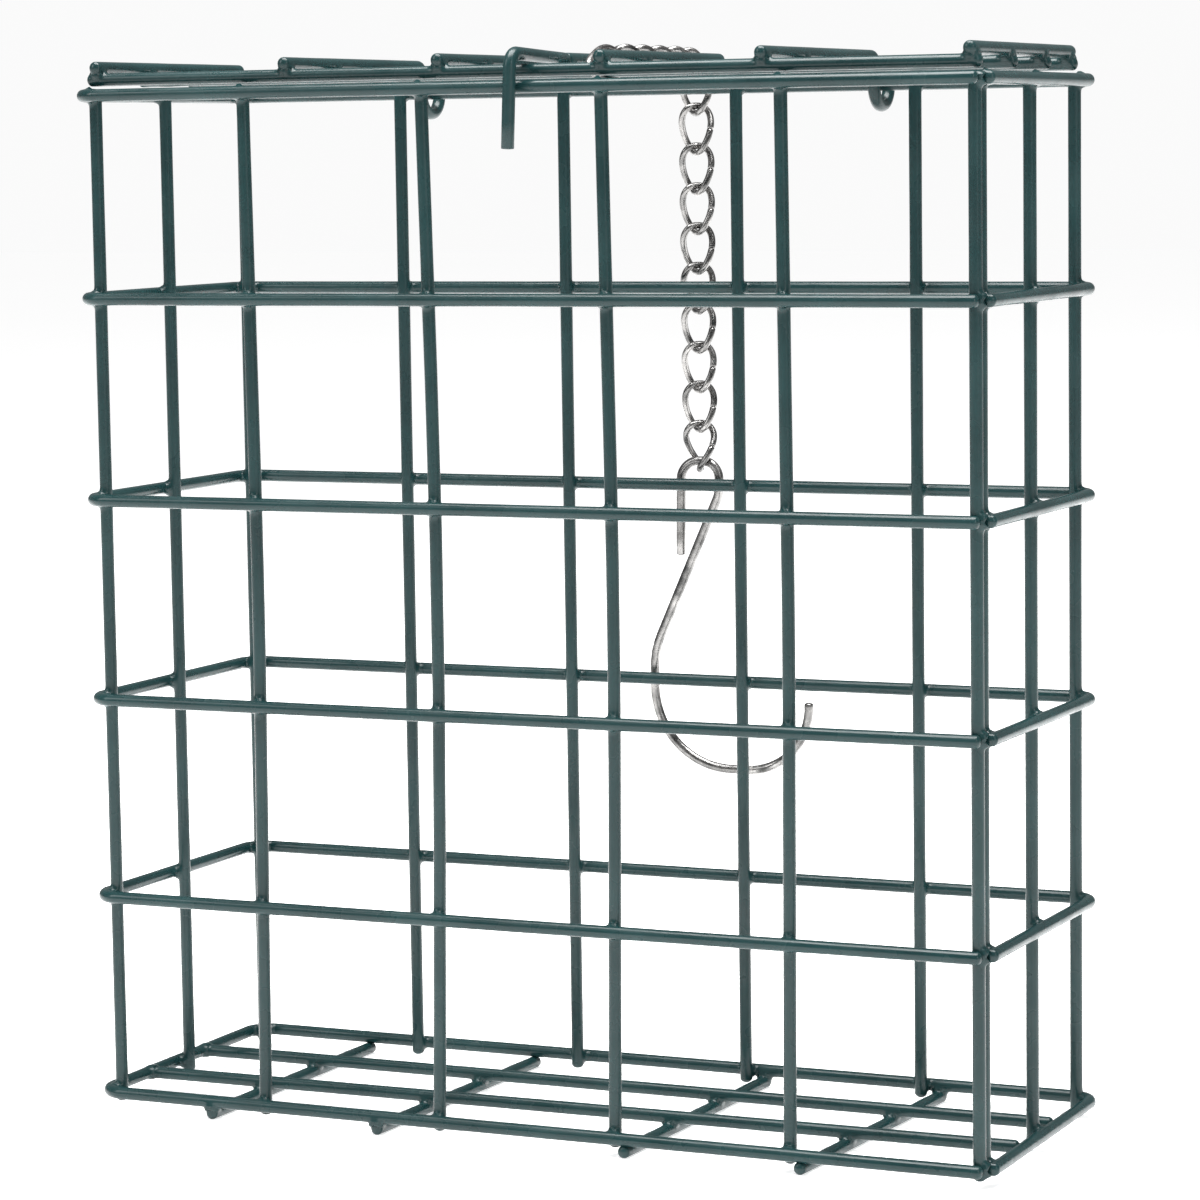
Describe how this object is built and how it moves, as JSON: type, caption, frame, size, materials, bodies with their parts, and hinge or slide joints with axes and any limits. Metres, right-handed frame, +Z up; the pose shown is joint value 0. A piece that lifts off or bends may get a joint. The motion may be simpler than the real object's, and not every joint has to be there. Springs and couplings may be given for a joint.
{
  "type": "hanging cage bird feeder",
  "caption": "Welded wire basket for a square block of bird food, with a hinged latching lid and a hanging chain and hook.",
  "frame": {"origin": "on the ground under the middle of the basket, in the plane of the floor cross wires' undersides", "axes": "+Z up, +X to the right seen from the front, -Y towards the front, where the latch is; the chain hangs behind, at +Y"},
  "size_m": [0.1216, 0.0488, 0.1348],
  "materials": {
    "coated_wire": "glossy dark green plastic coating",
    "plated_steel": "bright zinc plating"
  },
  "bodies": {
    "basket": {"hoop_base": "coated_wire", "hoop_1": "coated_wire", "hoop_2": "coated_wire", "hoop_3": "coated_wire", "hoop_4": "coated_wire", "hoop_top": "coated_wire", "front_upright_1": "coated_wire", "front_upright_2": "coated_wire", "front_upright_3": "coated_wire", "front_upright_4": "coated_wire", "front_upright_5": "coated_wire", "front_upright_6": "coated_wire", "rear_upright_1": "coated_wire", "rear_upright_2": "coated_wire", "rear_upright_3": "coated_wire", "rear_upright_4": "coated_wire", "rear_upright_5": "coated_wire", "rear_upright_6": "coated_wire", "left_upright": "coated_wire", "right_upright": "coated_wire", "seam_upright": "coated_wire", "floor_long_wire_front": "coated_wire", "floor_long_wire_rear": "coated_wire", "floor_cross_wire_1": "coated_wire", "floor_cross_wire_2": "coated_wire", "floor_cross_wire_3": "coated_wire", "floor_cross_wire_4": "coated_wire"},
    "lid": {"lid_long_wire_1": "coated_wire", "lid_long_wire_2": "coated_wire", "lid_long_wire_3": "coated_wire", "lid_long_wire_4": "coated_wire", "lid_end_wire_left": "coated_wire", "lid_hinge_wire_left": "coated_wire", "lid_cross_wire_left": "coated_wire", "lid_cross_wire_right": "coated_wire", "lid_hinge_wire_right": "coated_wire", "lid_end_wire_right": "coated_wire", "latch_wire": "coated_wire"},
    "latch": {"latch_hook": "coated_wire"},
    "chain_link_01": {"chain_link_01": "plated_steel"},
    "chain_link_02": {"chain_link_02": "plated_steel"},
    "chain_link_03": {"chain_link_03": "plated_steel"},
    "chain_link_04": {"chain_link_04": "plated_steel"},
    "chain_link_05": {"chain_link_05": "plated_steel"},
    "chain_link_06": {"chain_link_06": "plated_steel"},
    "chain_link_07": {"chain_link_07": "plated_steel"},
    "chain_link_08": {"chain_link_08": "plated_steel"},
    "chain_link_09": {"chain_link_09": "plated_steel"},
    "chain_link_10": {"chain_link_10": "plated_steel"},
    "chain_link_11": {"chain_link_11": "plated_steel"},
    "chain_link_12": {"chain_link_12": "plated_steel"},
    "chain_link_13": {"chain_link_13": "plated_steel"},
    "chain_link_14": {"chain_link_14": "plated_steel"},
    "chain_link_15": {"chain_link_15": "plated_steel"},
    "chain_link_16": {"chain_link_16": "plated_steel"},
    "hook": {"hook": "plated_steel"}
  },
  "joints": [
    {"name": "lid_hinge", "type": "hinge", "parent": "basket", "child": "lid", "pos_m": [0, 0.02073, 0.12928], "axis": [-1, 0, 0], "range_deg": [0, 105]},
    {"name": "latch_flex", "type": "hinge", "parent": "lid", "child": "latch", "pos_m": [0.0015, -0.0072, 0.13271], "axis": [-1, 0, 0], "range_deg": [0, 5], "stiffness_Nm_per_rad": 1.5},
    {"name": "chain_link_01_swing", "type": "hinge", "parent": "lid", "child": "chain_link_01", "pos_m": [0.0057, -0.0061, 0.13123], "axis": [1, 0, 0], "range_deg": [0, 80]},
    {"name": "chain_link_02_swing", "type": "hinge", "parent": "chain_link_01", "child": "chain_link_02", "pos_m": [0.0057, -0.0013, 0.13328], "axis": [1, 0, 0], "range_deg": [-0.6, 12]},
    {"name": "chain_link_03_swing", "type": "hinge", "parent": "chain_link_02", "child": "chain_link_03", "pos_m": [0.0057, 0.0038, 0.13328], "axis": [1, 0, 0], "range_deg": [-0.6, 12]},
    {"name": "chain_link_04_swing", "type": "hinge", "parent": "chain_link_03", "child": "chain_link_04", "pos_m": [0.0057, 0.0089, 0.13328], "axis": [1, 0, 0], "range_deg": [-0.6, 12]},
    {"name": "chain_link_05_swing", "type": "hinge", "parent": "chain_link_04", "child": "chain_link_05", "pos_m": [0.0057, 0.014, 0.13328], "axis": [1, 0, 0], "range_deg": [0, 12]},
    {"name": "chain_link_06_swing", "type": "hinge", "parent": "chain_link_05", "child": "chain_link_06", "pos_m": [0.0057, 0.0191, 0.13328], "axis": [1, 0, 0], "range_deg": [0, 43]},
    {"name": "chain_link_07_swing", "type": "hinge", "parent": "chain_link_06", "child": "chain_link_07", "pos_m": [0.0057, 0.02378, 0.13158], "axis": [1, 0, 0], "range_deg": [0, 69]},
    {"name": "chain_link_08_swing", "type": "hinge", "parent": "chain_link_07", "child": "chain_link_08", "pos_m": [0.0057, 0.02378, 0.1266], "axis": [0, 1, 0], "range_deg": [-15, 15]},
    {"name": "chain_link_09_swing", "type": "hinge", "parent": "chain_link_08", "child": "chain_link_09", "pos_m": [0.0057, 0.02378, 0.1215], "axis": [1, 0, 0], "range_deg": [0, 12]},
    {"name": "chain_link_10_swing", "type": "hinge", "parent": "chain_link_09", "child": "chain_link_10", "pos_m": [0.0057, 0.02378, 0.1164], "axis": [0, 1, 0], "range_deg": [-15, 15]},
    {"name": "chain_link_11_swing", "type": "hinge", "parent": "chain_link_10", "child": "chain_link_11", "pos_m": [0.0057, 0.02378, 0.1113], "axis": [1, 0, 0], "range_deg": [0, 12]},
    {"name": "chain_link_12_swing", "type": "hinge", "parent": "chain_link_11", "child": "chain_link_12", "pos_m": [0.0057, 0.02378, 0.1062], "axis": [0, 1, 0], "range_deg": [-15, 15]},
    {"name": "chain_link_13_swing", "type": "hinge", "parent": "chain_link_12", "child": "chain_link_13", "pos_m": [0.0057, 0.02378, 0.1011], "axis": [1, 0, 0], "range_deg": [0, 12]},
    {"name": "chain_link_14_swing", "type": "hinge", "parent": "chain_link_13", "child": "chain_link_14", "pos_m": [0.0057, 0.02378, 0.096], "axis": [0, 1, 0], "range_deg": [-15, 15]},
    {"name": "chain_link_15_swing", "type": "hinge", "parent": "chain_link_14", "child": "chain_link_15", "pos_m": [0.0057, 0.02378, 0.0909], "axis": [1, 0, 0], "range_deg": [0, 12]},
    {"name": "chain_link_16_swing", "type": "hinge", "parent": "chain_link_15", "child": "chain_link_16", "pos_m": [0.0057, 0.02378, 0.0858], "axis": [0, 1, 0], "range_deg": [-15, 15]},
    {"name": "hook_swing", "type": "hinge", "parent": "chain_link_16", "child": "hook", "pos_m": [0.0057, 0.02378, 0.0807], "axis": [0, 1, 0], "range_deg": [-20, 20]}
  ],
  "couplings": [
    {"joint": "chain_link_06_swing", "follows": "lid_hinge", "ratio": 0.4},
    {"joint": "chain_link_07_swing", "follows": "lid_hinge", "ratio": 0.65}
  ]
}
